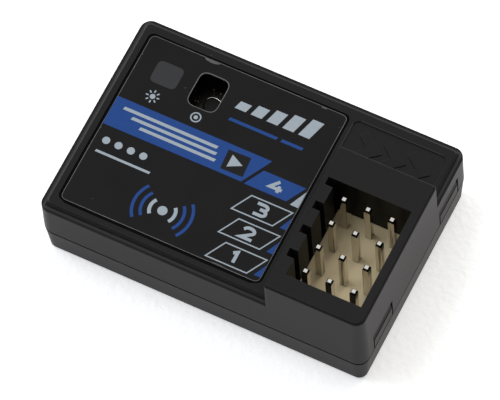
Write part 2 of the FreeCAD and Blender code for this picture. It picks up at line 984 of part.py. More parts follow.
def make_terminals():
    """Four bent leads, two on each side of the switch."""
    body = add_body("switch_terminals")
    body.AllowCompound = True
    inner = "switch_side / 2"
    profile = [
        (inner, "board_top"),
        (inner + " + terminal_reach", "board_top"),
        (inner + " + terminal_reach", "board_top + terminal_thickness"),
        (inner + " + terminal_thickness", "board_top + terminal_thickness"),
        (inner + " + terminal_thickness", "board_top + terminal_height"),
        (inner, "board_top + terminal_height"),
    ]
    leads = []
    for side, sign in (("rear", "-"), ("front", "")):
        sketch = polygon(
            body,
            side + "_terminal_profile",
            profile,
            plane="XZ_Plane",
            place=("0", "0", sign + "terminal_spread"),
        )
        leads.append(middle_pad(body, side + "_terminal", sketch, "terminal_width"))
    mirror(body, "left_terminals", leads, "YZ_Plane")
    return body


def make_dome():
    """Thin snap dome that springs the button back up."""
    body = add_body("switch_dome")
    rim = "switch_cavity / 2 - button_gap"
    profile = polygon(
        body,
        "dome_profile",
        [
            ("0", "switch_foot + dome_height - dome_thickness"),
            ("dome_crown", "switch_foot + dome_height - dome_thickness"),
            (rim + " - dome_thickness", "switch_foot"),
            (rim, "switch_foot"),
            (rim, "switch_foot + dome_thickness"),
            ("dome_crown", "switch_foot + dome_height"),
            ("0", "switch_foot + dome_height"),
        ],
        plane="XZ_Plane",
    )
    revolve(body, "dome_turn", profile)
    return body


def make_button():
    """Round button, held in by its flange under the cover."""
    body = add_body("switch_button")
    foot = "switch_foot + dome_height"
    shoulder = foot + " + flange_height"
    crown = "switch_top + cover_thickness + button_rise"
    profile = polygon(
        body,
        "button_profile",
        [
            ("0", foot),
            ("button_flange / 2", foot),
            ("button_flange / 2", shoulder),
            ("button_diameter / 2", shoulder),
            ("button_diameter / 2", crown),
            ("0", crown),
        ],
        plane="XZ_Plane",
    )
    revolve(body, "button_turn", profile)
    top = value_of(crown)
    round_edges(body, "button_rounding", lambda edge: level(edge, top), "button_round")
    return body


def make_cover():
    """Bent metal cover with two legs and a hole for the button."""
    body = add_body("switch_cover")
    inner = "switch_side / 2"
    outer = "(switch_side / 2 + cover_thickness)"
    profile = polygon(
        body,
        "cover_profile",
        [
            ("-" + outer, "switch_top - cover_leg"),
            ("-" + inner, "switch_top - cover_leg"),
            ("-" + inner, "switch_top"),
            (inner, "switch_top"),
            (inner, "switch_top - cover_leg"),
            (outer, "switch_top - cover_leg"),
            (outer, "switch_top + cover_thickness"),
            ("-" + outer, "switch_top + cover_thickness"),
        ],
        plane="YZ_Plane",
    )
    middle_pad(body, "cover_bridge", profile, "switch_side")
    ring = circle(
        body,
        "cover_hole_outline",
        "button_diameter + 2 * button_gap",
        place=("0", "0", "switch_top + cover_thickness"),
    )
    pocket(body, "cover_hole", ring, "2 * cover_thickness")
    return body


def make_led():
    """Surface-mounted lamp under the label's grey window."""
    body = add_body("led")
    base = rectangle(body, "led_base_outline", "led_length", "led_width", place=("0", "0", "board_top"))
    pad(body, "led_base", base, "led_base")
    lens = rectangle(
        body,
        "led_lens_outline",
        "led_length - 2 * led_margin",
        "led_width - led_margin",
        place=("0", "0", "board_top + led_base"),
    )
    pad(body, "led_lens", lens, "led_lens", taper="-upper_draft")
    top = value_of("board_top + led_base + led_lens")
    round_edges(body, "led_rounding", lambda edge: level(edge, top), "led_margin")
    place_body(body, "lamp_x", "lamp_y")
    return body


def make_chip(name):
    """Moulded component on the board, bevelled at the top."""
    body = add_body(name)
    outline = rectangle(
        body, name + "_outline", name + "_length", name + "_width", place=("0", "0", "board_top")
    )
    pad(body, name + "_block", outline, name + "_height")
    top = value_of("board_top + %s_height" % name)
    round_edges(body, name + "_bevel", lambda edge: level(edge, top), "chip_bevel", kind="Chamfer")
    place_body(body, name + "_x", name + "_y")
    return body


def make_pieces():
    """Every piece of the receiver, in the order it is put together."""
    pieces = [make_lower_case(), make_circuit_board(), make_header_base()]
    for channel in CHANNELS:
        for column in COLUMNS:
            pieces.append(make_pin(channel, column))
    pieces += make_switch()
    pieces.append(make_led())
    for name in CHIPS:
        pieces.append(make_chip(name))
    pieces += [make_upper_case(), make_label()]
    return pieces


def check_document():
    """Stop if any object failed to build."""
    for thing in DOC.Objects:
        if "Invalid" in thing.State or "Error" in thing.State:
            raise RuntimeError("%s failed: %s" % (thing.Name, thing.State))


def write_pieces(pieces):
    """Write each piece to its own file."""
    for body in pieces:
        if body.Shape.isNull() or not body.Shape.isValid():
            raise RuntimeError(body.Label + " is not a valid shape")
        print("%-28s solids %d  volume %9.4f" % (body.Label, len(body.Shape.Solids), body.Shape.Volume))
    os.makedirs("parts", exist_ok=True)
    for body in pieces:
        body.Shape.exportStep("parts/%s.step" % body.Label)


DOC = FreeCAD.newDocument("receiver")
SHEETS = list_sizes()
fill_sheets()
PIECES = make_pieces()
DOC.recompute()
check_document()
write_pieces(PIECES)
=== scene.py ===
# %% [markdown]
# # A small radio control receiver
# This lesson dresses a finished CAD model in Blender. The receiver is a snapped plastic case with a printed
# label, a well of bright contact pins and a push switch. The CAD parts stay exactly where they are. We only
# give them finishes, and add the thin things that CAD leaves out, such as ink and the label's cut edge.

# %% Load the fixed frame
import math

import bmesh
import bpy
from mathutils import Matrix, Vector


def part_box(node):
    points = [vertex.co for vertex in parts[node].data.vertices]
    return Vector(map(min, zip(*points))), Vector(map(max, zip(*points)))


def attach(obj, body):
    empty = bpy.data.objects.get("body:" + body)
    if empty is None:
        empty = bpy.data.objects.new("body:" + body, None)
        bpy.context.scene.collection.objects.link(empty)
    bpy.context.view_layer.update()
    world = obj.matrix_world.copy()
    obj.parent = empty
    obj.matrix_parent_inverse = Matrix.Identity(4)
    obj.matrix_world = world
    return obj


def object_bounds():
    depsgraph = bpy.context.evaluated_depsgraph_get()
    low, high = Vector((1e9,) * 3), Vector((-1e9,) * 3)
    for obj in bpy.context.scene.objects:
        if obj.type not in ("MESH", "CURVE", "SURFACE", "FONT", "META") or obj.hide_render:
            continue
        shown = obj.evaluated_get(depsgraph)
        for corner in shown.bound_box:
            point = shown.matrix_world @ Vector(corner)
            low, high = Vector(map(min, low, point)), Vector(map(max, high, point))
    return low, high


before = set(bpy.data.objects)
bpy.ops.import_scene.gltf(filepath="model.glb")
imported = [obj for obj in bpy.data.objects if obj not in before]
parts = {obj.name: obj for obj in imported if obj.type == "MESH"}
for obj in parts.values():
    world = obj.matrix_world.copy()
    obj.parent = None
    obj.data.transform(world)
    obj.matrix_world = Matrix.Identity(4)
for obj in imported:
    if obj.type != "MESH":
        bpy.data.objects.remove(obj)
cad_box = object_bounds()
MM = 0.001
print("parts:", len(parts), "box in mm:", [round((b - a) / MM, 2) for a, b in zip(*cad_box)])

# %% [markdown]
# ## Reading places from the frame
# Anything that lies on a CAD part takes its place from that part's box, so it can't drift off. Here we read
# the label's film and the middle of each contact pin.

# %% Places on the frame
film_low, film_high = (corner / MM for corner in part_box("label"))
film_middle = (film_low + film_high) / 2
film_top = film_high.z
pin_names = sorted(name for name in parts if name.endswith("_pin"))
print("film top %.2f mm, pins %d" % (film_top, len(pin_names)))

# %% [markdown]
# ## The camera
# The picture that we match looks down steeply from the front right. A long lens far away keeps the case's
# edges almost parallel. The camera stands on a line from the origin, given by its azimuth and its
# elevation. Two small offsets in its own plane move the case within the frame.

# %% Camera
AZIMUTH, ELEVATION, ROLL = math.radians(31.88), math.radians(63.54), math.radians(-5.98)
DISTANCE, ASIDE, ALOFT = 467.67, -0.598, 1.761
LENS_PIXELS, IMAGE_WIDTH, SENSOR = 4761.23, 500, 36.0

back = Vector((
    math.sin(AZIMUTH) * math.cos(ELEVATION),
    -math.cos(AZIMUTH) * math.cos(ELEVATION),
    math.sin(ELEVATION),
))
level = Vector((math.cos(AZIMUTH), math.sin(AZIMUTH), 0))
upward = back.cross(level)
right = math.cos(ROLL) * level + math.sin(ROLL) * upward
top = -math.sin(ROLL) * level + math.cos(ROLL) * upward

camera = bpy.data.objects.new("camera", bpy.data.cameras.new("camera"))
bpy.context.scene.collection.objects.link(camera)
camera.data.sensor_width = SENSOR
camera.data.lens = SENSOR * LENS_PIXELS / IMAGE_WIDTH
camera.data.clip_start, camera.data.clip_end = 0.01, 50
turn = Matrix((right, top, back)).transposed().to_4x4()
camera.matrix_world = Matrix.Translation((right * ASIDE + top * ALOFT + back * DISTANCE) * MM) @ turn
bpy.context.scene.camera = camera
print("lens %.1f mm" % camera.data.lens)

# %% [markdown]
# ## Building node trees
# A finish is a tree of shader nodes. Two short helpers keep the trees readable: one adds a node and fills
# its inputs with numbers or with other nodes' outputs, and one does the same for sums.

# %% Node helpers
def add(tree, kind, settings=None, **inputs):
    """Add a shader node, with its inputs set to values or linked to other nodes' sockets."""
    made = tree.nodes.new("ShaderNode" + kind)
    for key, value in (settings or {}).items():
        setattr(made, key, value)
    for key, value in inputs.items():
        fill(tree, made.inputs[key.replace("_", " ")], value)
    return made


def fill(tree, socket, value):
    """Link a socket to another one, or give it a value."""
    if isinstance(value, bpy.types.NodeSocket):
        tree.links.new(value, socket)
    else:
        socket.default_value = value


def maths(tree, operation, first, second, clamp=False):
    """One sum of two numbers or sockets."""
    made = add(tree, "Math", {"operation": operation, "use_clamp": clamp})
    fill(tree, made.inputs[0], first)
    fill(tree, made.inputs[1], second)
    return made.outputs[0]


def blend(tree, share, first, second):
    """Colour between two colours, by a share from 0 to 1."""
    made = add(tree, "Mix", {"data_type": "RGBA"})
    fill(tree, made.inputs["Factor"], share)
    for name, colour in (("A", first), ("B", second)):
        socket = next(s for s in made.inputs if s.name == name and s.type == "RGBA")
        fill(tree, socket, colour)
    return next(s for s in made.outputs if s.type == "RGBA")


def between(tree, share, low, high):
    """Number between two numbers, by a share from 0 to 1."""
    return add(tree, "MapRange", Value=share, To_Min=low, To_Max=high).outputs["Result"]


print("helpers ready")

# %% [markdown]
# ## Effects that several finishes share
# Mould texture, painted highlights along edges and dust come back on many parts, so each is a node group that
# is built once. A group has named inputs, and puts out only a mask or a height. The material decides what the
# mask does.

# %% A new node group
def new_group(name, inputs, output):
    """Empty node group with float inputs and one float output."""
    group = bpy.data.node_groups.new(name, "ShaderNodeTree")
    for label, value in inputs:
        socket = group.interface.new_socket(label, in_out="INPUT", socket_type="NodeSocketFloat")
        socket.default_value = value
    group.interface.new_socket(output, in_out="OUTPUT", socket_type="NodeSocketFloat")
    return group, group.nodes.new("NodeGroupInput").outputs, group.nodes.new("NodeGroupOutput").inputs


def use(tree, group, **inputs):
    """Put a group into a material with its own values, and give its output."""
    made = add(tree, "Group")
    made.node_tree = group
    for key, value in inputs.items():
        fill(tree, made.inputs[key.replace("_", " ")], value)
    return made.outputs[0]


print("groups can be made")

# %% [markdown]
# ### Moulded grain
# A spark-eroded mould leaves a fine pebbled skin. Two noises, one fine and one coarser, give that height.
# Sizes are in metres, so the grain is as large on every part.

# %% Moulded grain
COARSER = 0.31
moulded_grain, given, out = new_group("moulded grain", [("Grain Size", 0.0001)], "Height")
place = add(moulded_grain, "TexCoord").outputs["Object"]
density = maths(moulded_grain, "DIVIDE", 1.0, given["Grain Size"])
fine = add(moulded_grain, "TexNoise", Vector=place, Scale=density, Detail=2.0, Roughness=0.6)
coarse_density = maths(moulded_grain, "MULTIPLY", density, COARSER)
coarse = add(moulded_grain, "TexNoise", Vector=place, Scale=coarse_density, Detail=1.0)
grain = maths(moulded_grain, "ADD", fine.outputs["Fac"], coarse.outputs["Fac"])
moulded_grain.links.new(maths(moulded_grain, "MULTIPLY", grain, 0.5), out["Height"])
print("group:", moulded_grain.name)

# %% [markdown]
# ### Painted edge highlights
# A thin paler line is painted along the edges of a black case, as a painted highlight where a rounded edge
# would catch light. The Bevel node gives the normal that a rounded edge would have. Where it differs from the
# true normal, there is an edge. A soft noise makes the painted highlight stronger in some stretches than in
# others.

# %% Painted edge highlights
EDGE_GAIN, LEAST_HIGHLIGHT = 6.0, 0.35
PATCH_LOW, PATCH_HIGH = 0.35, 0.65
painted_edge_highlight, given, out = new_group(
    "painted edge highlight", [("Width", 0.0001), ("Patch Size", 0.002), ("Strength", 1.0)], "Mask"
)
softened = add(painted_edge_highlight, "Bevel", {"samples": 6}, Radius=given["Width"])
true_normal = add(painted_edge_highlight, "NewGeometry").outputs["Normal"]
match = add(painted_edge_highlight, "VectorMath", {"operation": "DOT_PRODUCT"})
painted_edge_highlight.links.new(softened.outputs["Normal"], match.inputs[0])
painted_edge_highlight.links.new(true_normal, match.inputs[1])
edge = maths(painted_edge_highlight, "SUBTRACT", 1.0, match.outputs["Value"])
edge = maths(painted_edge_highlight, "MULTIPLY", edge, EDGE_GAIN, clamp=True)
place = add(painted_edge_highlight, "TexCoord").outputs["Object"]
density = maths(painted_edge_highlight, "DIVIDE", 1.0, given["Patch Size"])
patches = add(painted_edge_highlight, "TexNoise", Vector=place, Scale=density, Detail=3.0).outputs["Fac"]
patchy = add(
    painted_edge_highlight, "MapRange", Value=patches, From_Min=PATCH_LOW, From_Max=PATCH_HIGH, To_Min=LEAST_HIGHLIGHT
)
edge = maths(painted_edge_highlight, "MULTIPLY", edge, patchy.outputs["Result"])
painted_edge_highlight.links.new(maths(painted_edge_highlight, "MULTIPLY", edge, given["Strength"], clamp=True), out["Mask"])
print("group:", painted_edge_highlight.name)

# %% [markdown]
# ### Dust
# A few pale specks of lint lie on the faces that look up. A Voronoi texture has one point in each cell. We
# keep only some cells, by their random colour, and draw a small dot at their points.

# %% Dust specks
UPWARD = 0.8
dust_specks, given, out = new_group(
    "dust specks", [("Spacing", 0.001), ("Speck Size", 0.04), ("Share", 0.1)], "Mask"
)
place = add(dust_specks, "TexCoord").outputs["Object"]
density = maths(dust_specks, "DIVIDE", 1.0, given["Spacing"])
cells = add(dust_specks, "TexVoronoi", Vector=place, Scale=density)
dot = maths(dust_specks, "LESS_THAN", cells.outputs["Distance"], given["Speck Size"])
chance = add(dust_specks, "SeparateColor", Color=cells.outputs["Color"]).outputs["Red"]
kept = maths(dust_specks, "LESS_THAN", chance, given["Share"])
normal = add(dust_specks, "NewGeometry").outputs["Normal"]
facing_up = add(dust_specks, "SeparateXYZ", Vector=normal).outputs["Z"]
upper = maths(dust_specks, "GREATER_THAN", facing_up, UPWARD)
speck = maths(dust_specks, "MULTIPLY", dot, kept)
dust_specks.links.new(maths(dust_specks, "MULTIPLY", speck, upper), out["Mask"])
print("group:", dust_specks.name)

# %% [markdown]
# ### Zones
# Some painted highlights and painted shade sit in one place only, such as on the ledge. A zone is a box in
# the part's own coordinates, given in millimetres, whose mask is 1 inside and 0 outside.

# %% Zones
sides = ("Left", "Right", "Front", "Rear", "Bottom", "Top")
zone, given, out = new_group("zone", [(side, 0.0) for side in sides], "Mask")
axes = add(zone, "SeparateXYZ", Vector=add(zone, "TexCoord").outputs["Object"]).outputs
inside = 1.0
for axis, low, high in zip("XYZ", sides[0::2], sides[1::2]):
    above = maths(zone, "GREATER_THAN", axes[axis], maths(zone, "MULTIPLY", given[low], MM))
    below = maths(zone, "LESS_THAN", axes[axis], maths(zone, "MULTIPLY", given[high], MM))
    inside = maths(zone, "MULTIPLY", inside, maths(zone, "MULTIPLY", above, below))
zone.links.new(inside, out["Mask"])


def box_zone(tree, x, y, z):
    """Mask of a box from its three pairs of limits in millimetres."""
    return use(tree, zone, Left=x[0], Right=x[1], Front=y[0], Rear=y[1], Bottom=z[0], Top=z[1])


def band_zone(tree, far, near, z):
    """Mask of a band round the middle, between two half sizes (x, y)."""
    outer = box_zone(tree, (-far[0], far[0]), (-far[1], far[1]), z)
    inner = box_zone(tree, (-near[0], near[0]), (-near[1], near[1]), z)
    return maths(tree, "SUBTRACT", outer, inner)


print("group:", zone.name)

# %% [markdown]
# ## Starting a material
# Each material keeps its own Principled BSDF. Numbers that are the same all over the surface are set
# straight on its sockets, because an export reads them there.

# %% A new material
materials = {}


def grey(value):
    """Neutral colour of a given brightness."""
    return (value, value, value, 1)


def start_material(name, **constants):
    """New material with a Principled BSDF, and its tree."""
    material = bpy.data.materials.new(name)
    material.use_nodes = True
    materials[name] = material
    shader = material.node_tree.nodes["Principled BSDF"]
    for key, value in constants.items():
        shader.inputs[key.replace("_", " ")].default_value = value
    return material.node_tree, shader.inputs


def bump(tree, height, depth, strength=1.0, normal=None):
    """Normal of a surface whose height rises by a depth in metres."""
    made = add(tree, "Bump", Height=height, Distance=depth, Strength=strength)
    if normal is not None:
        tree.links.new(normal, made.inputs["Normal"])
    return made.outputs["Normal"]


print("materials can be made")

# %% [markdown]
# ### Black moulded case
# The case is near-black plastic with a satin skin. Its top takes little light, while its walls mirror the
# pale floor at a flat angle and look grey. So the colour stays dark and the roughness does the work. A
# small bevel in the normal catches light along the sharp edges of the model, and a painted highlight lies
# along them too. Painted highlights make the inner half of the ledge, the step above it, the left lip of the
# deck and the border of the recess paler. The rear wall of the well is painted darker, as painted shade. The
# two shells come from two moulds, and the lower one has the duller skin.

# %% Black moulded case
# Each of these is a layer of the case, from one height to another.
LEDGE, STEP, LIP, DECK = (8.30, 8.40), (8.41, 8.86), (8.80, 8.998), (8.95, 9.05)
WELL_WALL = (6.6, 12.4)
EDGE_HIGHLIGHT_COLOUR, LINT = grey(0.07), (0.16, 0.16, 0.15, 1)


def make_case(name, level):
    """Black satin plastic with a given specular level, with painted highlights and painted shade in a few
    places.
    """
    tree, shader = start_material(name, Specular_IOR_Level=level)
    grain = use(tree, moulded_grain, Grain_Size=0.00012)
    edge = use(tree, painted_edge_highlight, Width=0.00009, Patch_Size=0.003, Strength=0.5)
    dust = use(tree, dust_specks, Spacing=0.0016, Speck_Size=0.035, Share=0.06)
    colour = blend(tree, grain, (0.0108, 0.0105, 0.0104, 1), (0.0144, 0.0140, 0.0139, 1))
    # Painted highlights on the ledge, the step, the left lip and the recess border; painted shade on the rear
    # wall of the well.
    zones = [
        (band_zone(tree, (17.20, 11.25), (16.94, 10.99), LEDGE), 0.040),
        (band_zone(tree, (17.00, 11.05), (16.80, 10.85), STEP), 0.024),
        (box_zone(tree, (-17.0, -16.63), (-11.0, 11.0), LIP), 0.048),
        (box_zone(tree, (6.24, 6.36), (5.2, 9.3), DECK), 0.030),
        (box_zone(tree, (6.9, 15.7), (9.89, 10.0), DECK), 0.030),
        (box_zone(tree, (8.3, 16.6), (1.5, 1.75), WELL_WALL), 0.004),
    ]
    for mask, brightness in zones:
        colour = blend(tree, mask, colour, grey(brightness))
    # Painted highlight along the edges.
    colour = blend(tree, edge, colour, EDGE_HIGHLIGHT_COLOUR)
    fill(tree, shader["Base Color"], blend(tree, dust, colour, LINT))
    fill(tree, shader["Roughness"], between(tree, grain, 0.34, 0.43))
    rounded = add(tree, "Bevel", {"samples": 6}, Radius=0.00006).outputs["Normal"]
    fill(tree, shader["Normal"], bump(tree, grain, 0.000004, 0.5, rounded))
    print("finish:", name)


make_case("upper shell plastic", 0.075)
make_case("lower shell plastic", 0.058)

# %% [markdown]
# ### Label film
# The film is glossier than the case and a little warmer. It was pressed down by hand, so it isn't quite
# flat: a broad, very shallow noise bends its reflections.

# %% Label film
tree, shader = start_material("label film", Specular_IOR_Level=0.10)
place = add(tree, "TexCoord").outputs["Object"]
swell = add(tree, "TexNoise", Vector=place, Scale=260.0, Detail=1.0).outputs["Fac"]
dust = use(tree, dust_specks, Spacing=0.0013, Speck_Size=0.034, Share=0.16)
ink = blend(tree, swell, (0.0064, 0.0057, 0.0058, 1), (0.0081, 0.0072, 0.0073, 1))
fill(tree, shader["Base Color"], blend(tree, dust, ink, grey(0.14)))
fill(tree, shader["Roughness"], between(tree, swell, 0.24, 0.32))
fill(tree, shader["Normal"], bump(tree, swell, 0.00002, 0.25))
print("finish:", "label film")

# %% [markdown]
# ### Inks
# Screen-printed ink lies on the film as a thin even layer. Fine mottling keeps it from looking like a
# computer's flat fill. All inks share one recipe and differ in colour.

# %% Inks
def make_ink(name, colour, roughness):
    """Screen-printed ink, mottled and slightly uneven."""
    tree, shader = start_material(name, Specular_IOR_Level=0.1)
    mottle = use(tree, moulded_grain, Grain_Size=0.0002)
    darker, lighter = (tuple(share * c for c in colour) + (1,) for share in (0.86, 1.08))
    fill(tree, shader["Base Color"], blend(tree, mottle, darker, lighter))
    fill(tree, shader["Roughness"], between(tree, mottle, roughness - 0.05, roughness + 0.05))
    fill(tree, shader["Normal"], bump(tree, mottle, 0.000002, 0.4))
    print("finish:", name)


make_ink("blue ink", (0.014, 0.057, 0.225), 0.35)
make_ink("pale ink", (0.33, 0.38, 0.42), 0.45)
make_ink("black ink", (0.010, 0.009, 0.010), 0.35)
make_ink("grey window", (0.036, 0.036, 0.038), 0.5)

# %% [markdown]
# ### Cut edge of the film
# The film is clear with ink on its underside, so its cut edge shows as a pale hairline. Its pale grey is
# partly the edge's own colour and partly a painted highlight, brighter in some stretches than in others.
# Where the ink has chipped off, the film is a rougher grey. Beside the film, a black ring of painted shadow
# lies in the gap, and a strip of painted shadow lies on the case in front of it.

# %% Cut edge
tree, shader = start_material("cut film", Specular_IOR_Level=0.5)
flecks = use(tree, moulded_grain, Grain_Size=0.0003)
stretches = use(tree, moulded_grain, Grain_Size=0.0022)
stretches = maths(tree, "MULTIPLY", maths(tree, "SUBTRACT", stretches, 0.38), 4.0, clamp=True)
# Pale grey of the cut edge, partly a painted highlight.
clean = blend(tree, flecks, grey(0.08), grey(0.20))
fill(tree, shader["Base Color"], blend(tree, stretches, (0.05, 0.05, 0.055, 1), clean))
fill(tree, shader["Roughness"], between(tree, flecks, 0.3, 0.5))

tree, shader = start_material("chipped print", Specular_IOR_Level=0.2)
flakes = use(tree, moulded_grain, Grain_Size=0.00018)
fill(tree, shader["Base Color"], blend(tree, flakes, (0.045, 0.045, 0.043, 1), (0.125, 0.125, 0.12, 1)))
fill(tree, shader["Roughness"], between(tree, flakes, 0.4, 0.6))

# Near-black painted shadow, for the gap round the film.
tree, shader = start_material("painted shadow black", Specular_IOR_Level=0.02)
shadow_grain = use(tree, moulded_grain, Grain_Size=0.0002)
fill(tree, shader["Base Color"], blend(tree, shadow_grain, grey(0.0015), grey(0.004)))
fill(tree, shader["Roughness"], between(tree, shadow_grain, 0.6, 0.9))
fill(tree, shader["Normal"], bump(tree, shadow_grain, 0.00001, 0.5))
print("finishes:", "cut film", "chipped print", "painted shadow black")

# %% [markdown]
# ### Cream nylon
# The insulator under the pins is natural nylon, a waxy cream that has darkened a little. Light enters it, so
# it has some subsurface scattering, and red light travels farthest in it.

# %% Cream nylon
tree, shader = start_material("cream nylon", Specular_IOR_Level=0.45, Subsurface_Weight=0.25)
shader["Subsurface Radius"].default_value = (0.0006, 0.0004, 0.0002)
shader["Subsurface Scale"].default_value = 1.0
cloud = use(tree, moulded_grain, Grain_Size=0.0009)
fill(tree, shader["Base Color"], blend(tree, cloud, (0.56, 0.455, 0.265, 1), (0.61, 0.50, 0.30, 1)))
fill(tree, shader["Roughness"], between(tree, cloud, 0.45, 0.6))
fill(tree, shader["Normal"], bump(tree, cloud, 0.00001, 0.3))
print("finish:", "cream nylon")

# %% [markdown]
# ### Metals
# The pins are tinned brass, drawn through a die, so they are streaked along their length. A noise stretched
# along Z makes the streaks, and a second, sparser one makes long dark lines of tarnish. Tin dulls with time,
# but a pin's cut end stays bright, so another colour is mixed in where the face looks up. The switch's cover
# is plain steel, and its colour is made much darker as painted shade, for it lies down in the dark hole.

# %% Metals
STREAK_DENSITY, LINE_DENSITY = 9000.0, 2600.0
LINE_STRETCH, LINE_START, LINE_GAIN = 0.04, 0.56, 12.0


def make_metal(name, low, high, rough_low, rough_high, stretch, cut_end=None, tarnish=None):
    """Bare metal with streaks along Z, or even ones where the stretch is 1."""
    tree, shader = start_material(name, Metallic=1.0)
    place = add(tree, "TexCoord").outputs["Object"]
    squeezed = add(tree, "Mapping", Vector=place, Scale=(1, 1, 1 / stretch)).outputs["Vector"]
    streaks = add(tree, "TexNoise", Vector=squeezed, Scale=STREAK_DENSITY, Detail=3.0).outputs["Fac"]
    colour = blend(tree, streaks, low + (1,), high + (1,))
    if tarnish:
        squeezed = add(tree, "Mapping", Vector=place, Scale=(1, 1, LINE_STRETCH)).outputs["Vector"]
        lines = add(tree, "TexNoise", Vector=squeezed, Scale=LINE_DENSITY, Detail=2.0).outputs["Fac"]
        lines = maths(tree, "SUBTRACT", lines, LINE_START)
        lines = maths(tree, "MULTIPLY", lines, LINE_GAIN, clamp=True)
        colour = blend(tree, lines, colour, tarnish + (1,))
    if cut_end:
        normal = add(tree, "NewGeometry").outputs["Normal"]
        facing_up = add(tree, "SeparateXYZ", Vector=normal).outputs["Z"]
        upper = maths(tree, "GREATER_THAN", facing_up, 0.9)
        colour = blend(tree, upper, colour, cut_end + (1,))
    fill(tree, shader["Base Color"], colour)
    fill(tree, shader["Roughness"], between(tree, streaks, rough_low, rough_high))
    fill(tree, shader["Normal"], bump(tree, streaks, 0.000003, 0.4))
    print("finish:", name)


make_metal(
    "tinned pin", (0.52, 0.49, 0.44), (0.68, 0.65, 0.60), 0.06, 0.14, 12.0,
    cut_end=(0.62, 0.61, 0.58), tarnish=(0.16, 0.14, 0.11),
)
make_metal("rolled steel", (0.42, 0.42, 0.42), (0.60, 0.60, 0.59), 0.25, 0.45, 1.0)
# Dark steel colour as painted shade down in the hole.
make_metal("steel darkened by painted shade", (0.030, 0.026, 0.021), (0.060, 0.052, 0.042), 0.3, 0.45, 1.0)
make_metal("polished steel", (0.80, 0.80, 0.78), (0.92, 0.92, 0.90), 0.06, 0.14, 1.0)
make_metal("drawn can", (0.52, 0.51, 0.48), (0.70, 0.69, 0.66), 0.25, 0.4, 1.0)

# %% [markdown]
# ### Parts inside the case
# Nobody sees the board until the case is opened, but every part still gets a true finish. They share one
# recipe for moulded resin, with their own colours and grain, and a painted highlight along their edges. The
# push button is matt, so its specular level is far lower.

# %% Inner finishes
def make_resin(name, low, high, roughness, size, level=0.45):
    """Moulded or fired part with a fine grain in its colour and surface."""
    tree, shader = start_material(name, Specular_IOR_Level=level)
    grain = use(tree, moulded_grain, Grain_Size=size)
    edge = use(tree, painted_edge_highlight, Width=0.00005, Patch_Size=0.001, Strength=0.25)
    colour = blend(tree, grain, low + (1,), high + (1,))
    # Painted highlight along the edges.
    fill(tree, shader["Base Color"], blend(tree, edge, colour, grey(0.2)))
    fill(tree, shader["Roughness"], between(tree, grain, roughness - 0.08, roughness + 0.08))
    fill(tree, shader["Normal"], bump(tree, grain, 0.000003, 0.5))
    print("finish:", name)


make_resin("switch body", (0.010, 0.010, 0.010), (0.018, 0.018, 0.018), 0.5, 0.0001)
make_resin("button plastic", (0.009, 0.0085, 0.008), (0.014, 0.013, 0.012), 0.42, 0.00012, 0.06)
make_resin("chip resin", (0.012, 0.012, 0.013), (0.024, 0.024, 0.025), 0.6, 0.00008)
make_resin("yellow resin", (0.50, 0.34, 0.06), (0.62, 0.44, 0.10), 0.45, 0.0001)
make_resin("fired ceramic", (0.36, 0.28, 0.19), (0.48, 0.39, 0.28), 0.5, 0.0001)
make_resin("milky resin", (0.62, 0.62, 0.56), (0.74, 0.74, 0.69), 0.35, 0.0002)
make_resin("solder mask", (0.010, 0.012, 0.010), (0.016, 0.020, 0.015), 0.4, 0.0006)

# %% [markdown]
# ## Dressing the CAD parts
# Each part's own material slot receives its finish. The mesh and the place of the part stay untouched.

# %% Dress the CAD parts
finish_of = {
    "upper_case": "upper shell plastic",
    "lower_case": "lower shell plastic",
    "label": "label film",
    "header_base": "cream nylon",
    "circuit_board": "solder mask",
    "switch_base": "switch body",
    "switch_terminals": "rolled steel",
    "switch_dome": "rolled steel",
    "switch_cover": "steel darkened by painted shade",
    "switch_button": "button plastic",
    "led": "milky resin",
    "rf_chip": "chip resin",
    "microcontroller": "chip resin",
    "voltage_regulator": "chip resin",
    "crystal": "drawn can",
    "supply_capacitor": "yellow resin",
    "filter_capacitor": "fired ceramic",
    "reset_capacitor": "fired ceramic",
    "antenna": "fired ceramic",
}
for name in pin_names:
    finish_of[name] = "tinned pin"
for name, finish in finish_of.items():
    mesh = parts[name].data
    if not mesh.materials:
        mesh.materials.append(None)
    for number in range(len(mesh.materials)):
        mesh.materials[number] = materials[finish]
undressed = sorted(set(parts) - set(finish_of))
print("dressed:", len(finish_of), "left over:", undressed)

# %% [markdown]
# ## Ink as geometry
# The print is only a few hundredths of a millimetre thick, but it is real geometry here, so that it stays
# sharp from every side. A plate is an outline that is filled and given a little height.

# %% Plates of ink
INK_HEIGHT = 0.012
INK_TOP = film_top + INK_HEIGHT


def add_piece(name, build, finish, body="housing"):
    """New object from a bmesh that is done, dressed, and riding on a body."""
    bmesh.ops.recalc_face_normals(build, faces=build.faces)
    mesh = bpy.data.meshes.new(name)
    build.to_mesh(mesh)
    build.free()
    mesh.materials.append(materials[finish])
    piece = bpy.data.objects.new(name, mesh)
    bpy.context.scene.collection.objects.link(piece)
    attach(piece, body)
    return piece


def plate(name, outlines, finish, base=film_top, height=INK_HEIGHT):
    """Flat shape of one or more filled outlines in millimetres, standing on a base height."""
    build = bmesh.new()
    for outline in outlines:
        lower = [build.verts.new(Vector((x, y, base)) * MM) for x, y in outline]
        upper = [build.verts.new(Vector((x, y, base + height)) * MM) for x, y in outline]
        build.faces.new(upper)
        build.faces.new(lower[::-1])
        for here in range(len(outline)):
            there = (here + 1) % len(outline)
            build.faces.new((lower[here], lower[there], upper[there], upper[here]))
    return add_piece(name, build, finish)


